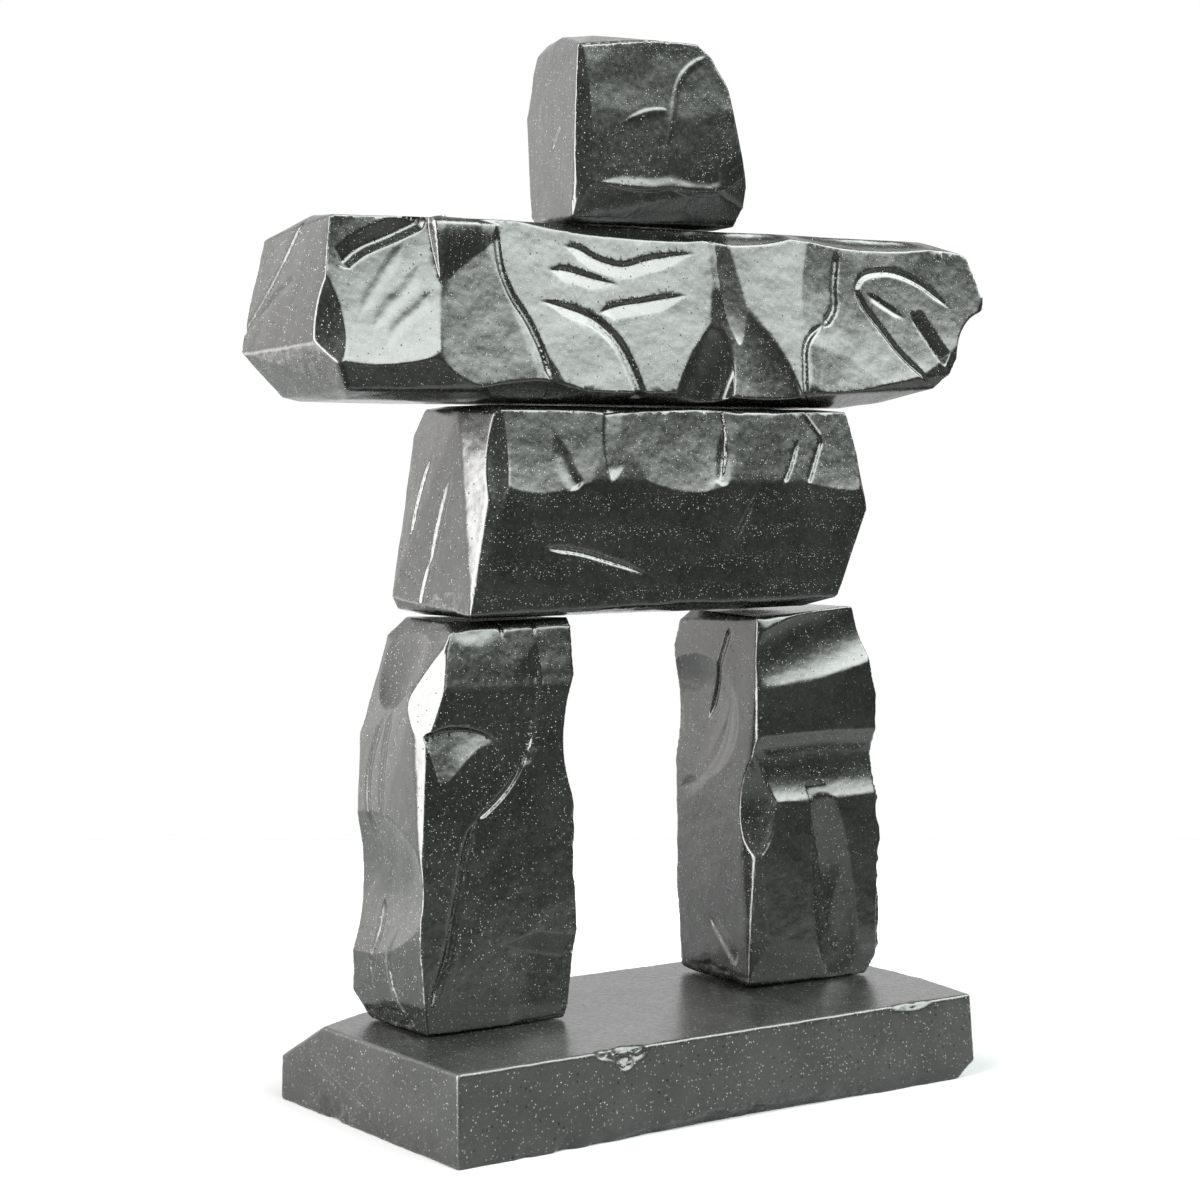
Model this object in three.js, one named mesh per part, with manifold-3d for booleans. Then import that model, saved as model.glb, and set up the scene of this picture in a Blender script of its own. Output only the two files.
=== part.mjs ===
// Inukshuk: a stone figure of six hewn pieces of dark polished stone.
// Two legs stand on a sawn slab, the torso lies across them, the long arms
// stone lies on the torso, and the head stands on the arms.
// Millimetres, +Z up, front towards -Y. The origin is the middle of the
// slab's underside. Every stone's form is given in percent of its own size.
import * as THREE from 'three';
import { ConvexGeometry } from 'three/addons/geometries/ConvexGeometry.js';
import { mergeVertices } from 'three/addons/utils/BufferGeometryUtils.js';
import Module from 'manifold-3d';

// Driving dimensions, in mm. Length is along X, depth along Y, height along Z.
const slabLength = 184;
const slabDepth = 95;
const slabThickness = 25;
const legHeight = 113;
const leftLegLength = 52;
const leftLegDepth = 42;
const rightLegLength = 52;
const rightLegDepth = 42;
const torsoLength = 142;
const torsoDepth = 44;
const torsoHeight = 59;
const armsLength = 240;
const armsDepth = 46;
const armsHeight = 51;
const headLength = 64;
const headDepth = 42;
const headHeight = 53.5;

// Where the stones' middles stand, from the middle of the slab, in mm.
const leftLegAcross = -54;
const leftLegBack = 9;
const rightLegAcross = 61;
const rightLegBack = 11;
const torsoAcross = 1;
const torsoBack = 7;
const armsAcross = 6;
const armsBack = 7;
const headAcross = 1;
const headBack = 8;

// Clearance between a stone and the one that it rests on, in mm.
const seatGap = 0.3;
// The arms' top climbs by this many mm from the left end to the right one.
const armsRise = 3.4;
// Size of a flat on a scooped surface, in mm, and the limits on its count.
const flatSize = 4.6;
const fewestFlats = 12;
const mostFlats = 60;

const stone = { color: 0x3a3d3a, roughness: 0.28, metalness: 0 };
const slabStone = { color: 0x4a4b48, roughness: 0.55, metalness: 0 };

// Corners of the hewn blocks before scooping: percent of the length to the
// right, of the depth to the back, and of the height up, from the seat's middle.
const slabCorners = [
  [-50, -50, 0], [-50, -50, 100], [47, -50, 100], [48, -50, 20], [45, -49, 0],
  [49.5, -24, 100], [50, 0, 100], [48, 45, 100], [48, 48, 15], [46, 50, 0],
  [-50, 50, 0], [-50, 49.5, 50], [-50, 24, 100], [-41, 34, 100], [-20, 45, 100],
];

const leftLegCorners = [
  [-18.5, 38, 100], [-27.5, 43, 95.5], [-38, 45, 78], [-44.5, 45, 71], [-46.5, 45, 54],
  [-49.5, 45, 18.5], [-49.5, 45, 7], [-43.5, 35.5, 0],
  [-23.5, -21.5, 99.5], [-27, -37, 97.5], [-38.5, -43, 83.5],
  [-48, -31, 80.5], [-44.5, -43, 76.5],
  [-46, -43, 43.5], [-49, -43, 23.5], [-47, -43, 7.5], [-43, -38, 0],
  [50, -33, 100], [50, -37, 98], [50, -43, 83.5], [50, -43, 22],
  [46, -43, 10.5], [45, -43, 3], [44, -40, 0],
  [50, 40, 99], [48, 45, 66], [42.5, 43, 0],
];

const rightLegCorners = [
  [-40, 40.5, 99], [-47.5, 45, 96], [-49, 47.5, 89.5], [-47.5, 47.5, 51],
  [-47, 47.5, 25], [-43.5, 47.5, 1], [-41, 38, 0],
  [-45, -44, 98], [-39.5, -47.5, 93.5], [-46, -44.5, 76], [-45, -47.5, 53],
  [-39, -47.5, 45], [-38.5, -47.5, 10.5], [-49.5, -33, 35.5], [-48.5, -40.5, 1.5],
  [-44, -36, 0], [30, -43, 100], [30, -47.5, 97.5], [38, -47.5, 84],
  [44.5, -47.5, 74.5], [46.5, -47.5, 40], [48.5, -47.5, 19], [48, -47.5, 7.5],
  [38.5, -44, 0], [20, 36, 100], [42.5, 40.5, 66], [38.5, 38, 0],
];

const torsoCorners = [
  [-40.5, 43, 98.5], [-42.5, 47.5, 85.5], [-47.5, 47.5, 9], [-46.5, 45.5, 3],
  [-42.5, -9, 97.5], [-40.5, -34, 76.5], [-45, -25, 13], [-44.5, -27, 2.5],
  [-39, -40.5, 97], [-38, -46.5, 64], [-46.5, -42, 2],
  [48.5, -40.5, 98.5], [50, -46.5, 63], [54, -41, 49], [45.5, -42, 5],
  [46.5, 47.5, 98], [50.5, 50, 53], [41, 47.5, 1.5],
  [-38, -24, 100], [-38, 30, 100], [44, -24, 100], [44, 36, 100],
  [-42, -26, 0], [-42, 36, 0], [40, -26, 0], [38, 40, 0],
];

// The arms' top climbs to the right, so its corners' height follows from that.
const armsTop = (right, back) => [right, back, 100 + armsRise / armsHeight * right];
const armsCorners = [
  armsTop(-45.5, -2), armsTop(-42, 40), armsTop(40, 40),
  armsTop(-18, -33), armsTop(-8, -15), armsTop(19, -15), armsTop(43, -12),
  [-14, -35, 91], [19, -35, 90], [44, -33, 91],
  [-46.5, -35, 95], [-47, 43.5, 86], [-48.5, 48, 51],
  [-49.5, 48, 26], [-45.5, 38, 2.5], [-44, 30, 0],
  [-46.5, -41, 73], [-46.8, -46, 55], [-48.4, -50, 31], [-45.5, -41, 5],
  [-44, -28, 0], [49, -30, 94], [51, -30, 70], [51, -30, 62], [44.5, -35, 22],
  [42, -33, 13], [34.5, -24, 4], [-19, -50, 10], [17, -50, 6],
  [41, 48, 88], [45.5, 41, 51], [37, 46, 10], [27, -26, 0], [30, 38, 0],
];

const headCorners = [
  [-34, 0, 99.5], [-28.5, -24, 98.5], [-26.5, 33, 100], [-27.5, 45, 94],
  [-29, 47.5, 84], [-32.5, 47.5, 60], [-31, 47.5, 32], [-33, 43, 6.5],
  [-44.5, -43, 91], [-2, -43.6, 96.5], [21, -43.2, 96.5],
  [28, -44, 91], [37, -45, 75], [44.5, -44, 40], [53, -33, 23], [52, -31, 11.5],
  [51, -21.5, 2], [-42, -45, 55], [-39, -49, 19], [-11, -49, 18],
  [30, -47, 19.5], [-46, -36, 2], [25, 45, 88], [47, 45, 35], [44, 43, 1],
  [-40, -26, 0], [-30, 38, 0], [44, -12, 0],
];

// Scoops. A scoop bites at a point of the block, given in percent as above,
// and faces a way given in degrees: the first turns from the front (0)
// towards the right (90), the second tips up. Its width, height and bite are
// in percent of the stone's height, and it may be turned about its facing.
// Its bowl says how many bites deep the whole ellipsoid is: a low number
// gives a flat floor with steep ends.
const slabScoops = [
  { at: [-44, 46, 92], facing: [-140, 55], size: [170, 60], bite: 14 },
  { at: [2, -50, 0], facing: [0, -55], size: [440, 46], bite: 9 },
];

const leftLegScoops = [
  { at: [50, -10, 70], facing: [90, 0], size: [60, 36], bite: 4.4 },
  { at: [-48, 36, 36], facing: [-90, 0], size: [60, 34], bite: 2.6 },
  { at: [-32, -43, 67.5], facing: [-4, 6], size: [30, 13], bite: 2 },
  { at: [-40.5, -35, 86.4], facing: [-56, 14], size: [28, 36], bite: 1.6, bowl: 12 },
  { at: [-14, -41, 96.5], facing: [0, 20], size: [26, 12], bite: 1.6 },
  { at: [-36, 30, 90], facing: [-80, 15], size: [30, 22], bite: 2 },
];

const rightLegScoops = [
  { at: [-48, 22, 71], facing: [-88, 0], size: [34, 32], bite: 2.6, turn: 16 },
  { at: [-46, -47.5, 50], facing: [-38, -4], size: [32, 29], bite: 4.4 },
  { at: [-4, -47.5, 88], facing: [0, 11], size: [96, 20], bite: 2, turn: 17 },
  { at: [0, -47.5, 55.5], facing: [0, 9], size: [110, 18], bite: 1.9 },
  { at: [10, -47.5, 20], facing: [4, 0], size: [14, 68], bite: 2.6, turn: 7 },
];

const torsoScoops = [
  { at: [-24, -42, 88], facing: [-3, 8], size: [64, 80], bite: 1.3, turn: 4 },
  { at: [-5, -42, 90], facing: [4, 8], size: [74, 68], bite: 0.9, turn: -8 },
  { at: [13, -42, 88], facing: [-5, 8], size: [40, 74], bite: 1.2 },
  { at: [35, -42, 90], facing: [3, 8], size: [90, 70], bite: 0.9 },
  { at: [-39, -42, 86], facing: [-36, 4], size: [30, 50], bite: 3, bowl: 8 },
];

const armsScoops = [
  { at: [-38.5, -42, 60], facing: [-6, 12], size: [84, 130], bite: 5, turn: -20 },
  { at: [-26, -42, 60], facing: [-2, 8], size: [70, 220], bite: 4.5, turn: 4 },
  { at: [-8, -42, 52], facing: [-2, 12], size: [150, 300], bite: 5, turn: 8 },
  { at: [17, -42, 62], facing: [-3, 12], size: [104, 240], bite: 6 },
  { at: [35, -39, 48], facing: [0, 11], size: [130, 190], bite: 5, turn: -12 },
  { at: [3.2, -46, 24], facing: [22, -14], size: [40, 122], bite: 6, turn: -16, bowl: 2 },
  { at: [10.5, -45, 22], facing: [4, 8], size: [48, 112], bite: 5, turn: 20, bowl: 2 },
  { at: [10.5, -36.5, 92], facing: [-24, -4], size: [26, 66], bite: 2.6, bowl: 5 },
  { at: [34, -29, 78], facing: [2, 7], size: [106, 84], bite: 1.6, turn: -14, bowl: 6 },
  { at: [-46, -45, 50], facing: [-38, -4], size: [80, 46], bite: 5, bowl: 8 },
  { at: [-22, -45, 2], facing: [0, -50], size: [86, 40], bite: 7 },
  { at: [48, -30, 42], facing: [70, -25], size: [60, 38], bite: 6.5 },
  { at: [-4, -24, 97.5], facing: [0, 50], size: [130, 16], bite: 3 },
  { at: [10, -24, 98.5], facing: [0, 50], size: [70, 20], bite: 3.4 },
  { at: [32, -20, 100], facing: [0, 50], size: [100, 18], bite: 3 },
];

const headScoops = [
  { at: [-4, -46, 62], facing: [0, 3], size: [420, 74], bite: 1, bowl: 2.2 },
];

const percent = 1 / 100;
const manifold = await Module();
manifold.setup();

// A closed solid from a three.js geometry.
function solidOf(geometry) {
  const bare = geometry.clone();
  bare.deleteAttribute('normal');
  bare.deleteAttribute('uv');
  const merged = mergeVertices(bare, 1e-5);
  return new manifold.Manifold(new manifold.Mesh({
    numProp: 3,
    vertProperties: Float32Array.from(merged.attributes.position.array),
    triVerts: Uint32Array.from(merged.index.array),
  }));
}

// A three.js geometry from a closed solid.
function geometryOf(solid) {
  const mesh = solid.getMesh();
  const geometry = new THREE.BufferGeometry();
  geometry.setAttribute('position', new THREE.BufferAttribute(mesh.vertProperties, 3));
  geometry.setIndex(new THREE.BufferAttribute(mesh.triVerts, 1));
  geometry.computeVertexNormals();
  return geometry;
}

// A point of a stone, from its percentages, in mm.
function pointOn(size, [right, back, up]) {
  return new THREE.Vector3(right, back, up).multiply(size).multiplyScalar(percent);
}

// How many flats go round an arc of half a turn of this radius.
function flatsOn(radius) {
  const flats = Math.round(Math.PI * radius / flatSize);
  return THREE.MathUtils.clamp(flats, fewestFlats, mostFlats);
}

// The scoop's ellipsoid, placed on its stone, as a closed solid.
function scoopSolid(size, { at, facing, size: [width, height], bite, turn = 0, bowl = 3 }) {
  const unit = size.z * percent;
  const lift = (bowl - 1) * bite * unit;
  const rim = Math.sqrt(1 - (1 - 1 / bowl) ** 2);
  const radii = new THREE.Vector3(width / 2 / rim, bowl * bite, height / 2 / rim)
    .multiplyScalar(unit);
  const ball = new THREE.SphereGeometry(1, flatsOn(2 * radii.x), flatsOn(radii.z));
  ball.rotateX(Math.PI / 2);
  const [azimuth, tip] = facing.map(THREE.MathUtils.degToRad);
  const place = new THREE.Matrix4().makeTranslation(pointOn(size, at))
    .multiply(new THREE.Matrix4().makeRotationZ(azimuth))
    .multiply(new THREE.Matrix4().makeRotationX(-tip))
    .multiply(new THREE.Matrix4().makeRotationY(-THREE.MathUtils.degToRad(turn)))
    .multiply(new THREE.Matrix4().makeTranslation(0, -lift, 0))
    .scale(radii);
  ball.applyMatrix4(place);
  return solidOf(ball);
}

// A hewn block with its scoops bitten out, seated on its own origin.
function stoneGeometry(size, corners, scoops) {
  const block = new ConvexGeometry(corners.map((corner) => pointOn(size, corner)));
  let solid = solidOf(block);
  for (const scoop of scoops) solid = solid.subtract(scoopSolid(size, scoop));
  return geometryOf(solid);
}

// A named stone of the figure.
function stoneMesh(name, size, corners, scoops, look) {
  const mesh = new THREE.Mesh(
    stoneGeometry(size, corners, scoops),
    new THREE.MeshStandardMaterial(look),
  );
  mesh.name = name;
  return mesh;
}

// Seat levels, each on the stone below.
const legSeat = slabThickness + seatGap;
const torsoSeat = legSeat + legHeight + seatGap;
const armsSeat = torsoSeat + torsoHeight + seatGap;
const armsSlope = Math.atan(armsRise / armsLength);
const headSeat = armsSeat + armsHeight + (headAcross - armsAcross) * Math.tan(armsSlope) + seatGap;

const base = stoneMesh(
  'base',
  new THREE.Vector3(slabLength, slabDepth, slabThickness),
  slabCorners,
  slabScoops,
  slabStone,
);

const leftLeg = stoneMesh(
  'left_leg',
  new THREE.Vector3(leftLegLength, leftLegDepth, legHeight),
  leftLegCorners,
  leftLegScoops,
  stone,
);
leftLeg.position.set(leftLegAcross, leftLegBack, legSeat);

const rightLeg = stoneMesh(
  'right_leg',
  new THREE.Vector3(rightLegLength, rightLegDepth, legHeight),
  rightLegCorners,
  rightLegScoops,
  stone,
);
rightLeg.position.set(rightLegAcross, rightLegBack, legSeat);

const torso = stoneMesh(
  'torso',
  new THREE.Vector3(torsoLength, torsoDepth, torsoHeight),
  torsoCorners,
  torsoScoops,
  stone,
);
torso.position.set(torsoAcross, torsoBack, torsoSeat);

const arms = stoneMesh(
  'arms',
  new THREE.Vector3(armsLength, armsDepth, armsHeight),
  armsCorners,
  armsScoops,
  stone,
);
arms.position.set(armsAcross, armsBack, armsSeat);

const head = stoneMesh(
  'head',
  new THREE.Vector3(headLength, headDepth, headHeight),
  headCorners,
  headScoops,
  stone,
);
head.position.set(headAcross, headBack, headSeat);
head.rotation.y = -armsSlope;

const inukshuk = new THREE.Group();
inukshuk.add(base, leftLeg, rightLeg, torso, arms, head);

export default inukshuk;
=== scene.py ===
"""A table-top inukshuk: five hewn, polished stones stacked on a sawn slab.

Each stone starts as a copy of its solid, is remeshed finely, and is then cut
to the exact form: flat faces with worn arrises, ground scoops, and the strokes,
grooves and lips that the maker drew over them. Sizes are in millimetres and
become metres when a mesh is finished.
"""

import logging
import math
from dataclasses import dataclass, field
from enum import Enum
from typing import Sequence

import bpy
import numpy as np
from mathutils import Matrix, Vector


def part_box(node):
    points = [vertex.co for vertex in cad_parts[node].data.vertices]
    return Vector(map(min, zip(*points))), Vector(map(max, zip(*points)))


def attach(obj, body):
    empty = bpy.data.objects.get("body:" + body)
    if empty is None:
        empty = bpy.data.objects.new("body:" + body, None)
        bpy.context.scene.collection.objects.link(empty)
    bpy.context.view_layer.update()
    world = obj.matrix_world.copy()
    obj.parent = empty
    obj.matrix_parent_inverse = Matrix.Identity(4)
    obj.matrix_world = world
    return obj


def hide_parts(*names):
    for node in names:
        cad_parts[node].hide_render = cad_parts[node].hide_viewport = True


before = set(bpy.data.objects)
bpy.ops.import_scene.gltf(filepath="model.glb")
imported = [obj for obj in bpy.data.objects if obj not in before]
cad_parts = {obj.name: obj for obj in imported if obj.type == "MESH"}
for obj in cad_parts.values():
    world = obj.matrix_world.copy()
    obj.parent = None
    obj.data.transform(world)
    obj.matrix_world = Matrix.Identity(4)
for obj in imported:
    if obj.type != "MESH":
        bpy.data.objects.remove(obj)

logging.basicConfig(level=logging.INFO, format="%(message)s")
log = logging.getLogger("inukshuk")

MM = 0.001
PERCENT = 0.01
# The least length that anything is divided by, and the least squared slope.
TINY = 1e-6
GENTLEST = 0.3

Triple = tuple[float, float, float]
Pair = tuple[float, float]
Path = tuple[Pair, ...]


class Side(Enum):
    """A side of a stone that strokes are drawn on, by the way it faces."""

    FRONT = "front"
    LEFT = "left"


@dataclass(frozen=True)
class Scoop:
    """A hollow ground out of a stone with an ellipsoid.

    at is the bitten point in percent of the stone's size, facing its azimuth
    (front 0, right 90) and tip in degrees, size its width and height and bite
    its depth in percent of the stone's height. turn leans its top to the left.
    bowl is the ellipsoid's depth in bites.
    """

    at: Triple
    facing: Pair
    size: Pair
    bite: float
    turn: float = 0.0
    bowl: float = 3.0


@dataclass(frozen=True)
class Stroke:
    """A groove drawn along a path on one side of a stone.

    The path is in percent of the stone's size, across the side and up. depth,
    left and right are in mm: the deepest cut, and the widths of its two walls
    as seen along the path from outside. A negative depth is a raised lip.
    start and end are the shares of the path over which it fades, and soft
    rounds the walls.
    """

    side: Side
    path: Path
    depth: float
    left: float
    right: float
    start: float = 0.25
    end: float = 0.25
    soft: bool = False


@dataclass(frozen=True)
class Chip:
    """A rough patch: its middle and radii in percent, the rest in mm.

    depth is how deep its roughness goes, grain the size of its lumps, and sunk
    how far all of it lies below the face round it.
    """

    at: Triple
    radii: Triple
    depth: float
    grain: float = 2.0
    sunk: float = 0.0


def smooth_step(low: float, high: float, value: np.ndarray) -> np.ndarray:
    """Ramps from 0 at low to 1 at high.

    Args:
        low: Where the ramp starts.
        high: Where it ends.
        value: The values to ramp.

    Returns:
        The ramped values.
    """
    share = np.clip((value - low) / (high - low), 0.0, 1.0)
    return share * share * (3.0 - 2.0 * share)


def squared(rows: np.ndarray) -> np.ndarray:
    """The squared length of each row."""
    return np.einsum("ij,ij->i", rows, rows)


@dataclass
class Reach:
    """Distances to a surface in mm, and the directions in which they grow."""

    value: np.ndarray
    slope: np.ndarray

    def joined(self, other: "Reach", width: np.ndarray) -> "Reach":
        """The larger of two distances, rounded over where they meet.

        Args:
            other: The other distances.
            width: The width of the rounding in mm.

        Returns:
            The joined distances and their slopes.
        """
        apart = self.value - other.value
        near = np.maximum(width - np.abs(apart), 0.0)
        value = np.maximum(self.value, other.value) + near * near / (4.0 * width)
        less = near / (2.0 * width)
        share = np.where(apart > 0, less, 1.0 - less)[:, None]
        return Reach(value, (1.0 - share) * self.slope + share * other.slope)


class Grain:
    """Smooth three-dimensional noise from a seeded lattice.

    An octave is its share of the whole, its shift in mm and its share of the wave.
    """

    SIDE = 32
    FAR_OFF = 100.0
    OCTAVES = ((0.57, 0.0, 1.0), (0.29, 7.3, 0.5), (0.14, 3.1, 0.25))

    def __init__(self, seed: int) -> None:
        """Draws the lattice.

        Args:
            seed: The seed of its random values.
        """
        shape = (self.SIDE, self.SIDE, self.SIDE)
        self.values = np.random.default_rng(seed).uniform(-1.0, 1.0, shape)

    def at(self, points: np.ndarray, wave: float) -> np.ndarray:
        """Reads the noise.

        Args:
            points: Places in mm, one row each.
            wave: The size of its swells in mm.

        Returns:
            Values from -1 to 1.
        """
        place = points / wave + self.FAR_OFF
        cell = np.floor(place).astype(int)
        share = place - cell
        share = share * share * (3.0 - 2.0 * share)
        total = np.zeros(len(points))
        for corner in np.ndindex(2, 2, 2):
            index = (cell + corner) % self.SIDE
            weight = np.prod(np.where(corner, share, 1.0 - share), axis=1)
            total += weight * self.values[index[:, 0], index[:, 1], index[:, 2]]
        return total

    def rough(self, points: np.ndarray, wave: float) -> np.ndarray:
        """Noise with two finer octaves on top.

        Args:
            points: Places in mm, one row each.
            wave: The size of its largest swells in mm.

        Returns:
            Values from about -1 to 1.
        """
        return sum(
            share * self.at(points + apart, wave * finer) for share, apart, finer in self.OCTAVES
        )


def turned(facing: Pair) -> np.ndarray:
    """The matrix that turns a side's own axes to the way it faces.

    Args:
        facing: Azimuth and tip in degrees.

    Returns:
        A 3 by 3 matrix. Its second column points into the stone.
    """
    azimuth, tip = (math.radians(angle) for angle in facing)
    return np.array(Matrix.Rotation(azimuth, 3, "Z") @ Matrix.Rotation(-tip, 3, "X"))


class Form:
    """The exact form of a stone before its strokes, as distances in mm.

    NEAR is how far past a bowl its rim is felt, and STRIDE the longest move of a
    point in one round. Two faces are the same one when their normals' product
    is over SAME_WAY and they lie closer than SAME_PLACE. A face under SLIVER,
    in square mm, is left out. SHARP and KEEN are the narrowest arrises of the
    block and of a scoop's rim, and STEEPEST a scoop's bite per width from which
    its rim wears as much as the block's.
    """

    NEAR = 6.0
    STRIDE = 1.5
    SAME_WAY = 0.99995
    SAME_PLACE = 0.05
    SLIVER = 0.01
    SHARP = 0.01
    KEEN = 0.05
    STEEPEST = 0.25

    def __init__(
        self,
        size: Triple,
        corners: Sequence[Triple],
        scoops: Sequence[Scoop],
        arris: float,
    ) -> None:
        """Works out the faces of the block and the bowls of its scoops.

        Args:
            size: Length, depth and height of the stone in mm.
            corners: Corners of the block in percent.
            scoops: The scoops, in the order in which they were ground.
            arris: The width over which its edges are worn, in mm.
        """
        self.size = np.array(size)
        self.arris = arris
        self.normals, self.offsets = self.faces_of(corners)
        self.bowls = [self.bowl_of(scoop) for scoop in scoops]

    def place(self, at: Triple) -> np.ndarray:
        """A point given in percent, in mm."""
        return np.array(at) * self.size * PERCENT

    def faces_of(self, corners: Sequence[Triple]) -> tuple[np.ndarray, np.ndarray]:
        """The flat faces of the block round these corners.

        Args:
            corners: Corners in percent.

        Returns:
            The faces' outward normals, and their distances from the seat.
        """
        mesh = bpy.data.meshes.new("block")
        mesh.from_pydata([self.place(corner) for corner in corners], [], [])
        block = bpy.data.objects.new("block", mesh)
        bpy.context.scene.collection.objects.link(block)
        only(block)
        bpy.ops.object.mode_set(mode="EDIT")
        bpy.ops.mesh.select_all(action="SELECT")
        bpy.ops.mesh.convex_hull(join_triangles=False)
        bpy.ops.object.mode_set(mode="OBJECT")
        kept: list[tuple[np.ndarray, float]] = []
        for polygon in mesh.polygons:
            normal = np.array(polygon.normal)
            offset = float(normal @ np.array(polygon.center))
            same = any(
                other @ normal > self.SAME_WAY and abs(place - offset) < self.SAME_PLACE
                for other, place in kept
            )
            if polygon.area > self.SLIVER and not same:
                kept.append((normal, offset))
        bpy.data.objects.remove(block)
        bpy.data.meshes.remove(mesh)
        return np.array([way for way, _ in kept]), np.array([place for _, place in kept])

    def bowl_of(self, scoop: Scoop) -> tuple[np.ndarray, np.ndarray, np.ndarray, float]:
        """The ellipsoid of a scoop.

        Args:
            scoop: The scoop.

        Returns:
            Its middle, its turn, its radii and the width of its rim's arris.
        """
        unit = self.size[2] * PERCENT
        rim = math.sqrt(1.0 - (1.0 - 1.0 / scoop.bowl) ** 2)
        width, height = scoop.size
        radii = np.array([width / 2 / rim, scoop.bowl * scoop.bite, height / 2 / rim]) * unit
        lean = np.array(Matrix.Rotation(-math.radians(scoop.turn), 3, "Y"))
        turn = turned(scoop.facing) @ lean
        middle = self.place(scoop.at) - turn[:, 1] * (scoop.bowl - 1) * scoop.bite * unit
        steep = min(1.0, scoop.bite / min(width, height) / self.STEEPEST)
        return middle, turn, radii, max(self.KEEN, self.arris * steep)

    def block(self, points: np.ndarray, worn: np.ndarray) -> Reach:
        """Distances to the block with its arrises worn.

        Args:
            points: Places in mm.
            worn: How far the arrises are worn at each of them, about 1.

        Returns:
            Distances, negative inside, and their slopes.
        """
        away = points @ self.normals.T - self.offsets
        top = np.argpartition(away, -3, axis=1)[:, -3:]
        rows = np.arange(len(points))
        order = np.argsort(-away[rows[:, None], top], axis=1)
        top = top[rows[:, None], order]
        nearest = [Reach(away[rows, place], self.normals[place]) for place in top.T]
        first, second, third = nearest
        corner = np.linalg.norm(first.slope - second.slope, axis=1)
        far = np.linalg.norm(first.slope - third.slope, axis=1)
        width = self.arris * worn
        joined = first.joined(second, np.maximum(width * corner, self.SHARP))
        return joined.joined(third, np.maximum(width * far, self.SHARP))

    def reach(self, points: np.ndarray, worn: np.ndarray) -> Reach:
        """Distances to the stone's surface.

        Args:
            points: Places in mm.
            worn: How far the arrises are worn at each of them, about 1.

        Returns:
            Distances, negative inside the stone, and their slopes.
        """
        result = self.block(points, worn)
        for middle, turn, radii, rim in self.bowls:
            away = points - middle
            near = np.flatnonzero(squared(away) < (radii.max() + self.NEAR) ** 2)
            if not len(near):
                continue
            local = away[near] @ turn
            outer = np.linalg.norm(local / radii, axis=1)
            steep = local / radii**2
            inner = np.maximum(np.linalg.norm(steep, axis=1), TINY)
            bowl = Reach(-outer * (outer - 1.0) / inner, -(steep / inner[:, None]) @ turn.T)
            joined = Reach(result.value[near], result.slope[near]).joined(bowl, rim * worn[near])
            result.value[near], result.slope[near] = joined.value, joined.slope
        return result

    def settle(self, points: np.ndarray, worn: np.ndarray, rounds: int) -> np.ndarray:
        """Moves points onto the surface.

        Args:
            points: Places in mm near the surface.
            worn: How far the arrises are worn at each of them.
            rounds: How many times to correct them.

        Returns:
            The moved points.
        """
        points = points.copy()
        for _ in range(rounds):
            here = self.reach(points, worn)
            steep = np.maximum(squared(here.slope), GENTLEST)
            move = np.clip(here.value / steep, -self.STRIDE, self.STRIDE)
            points -= move[:, None] * here.slope
        return points


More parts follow.
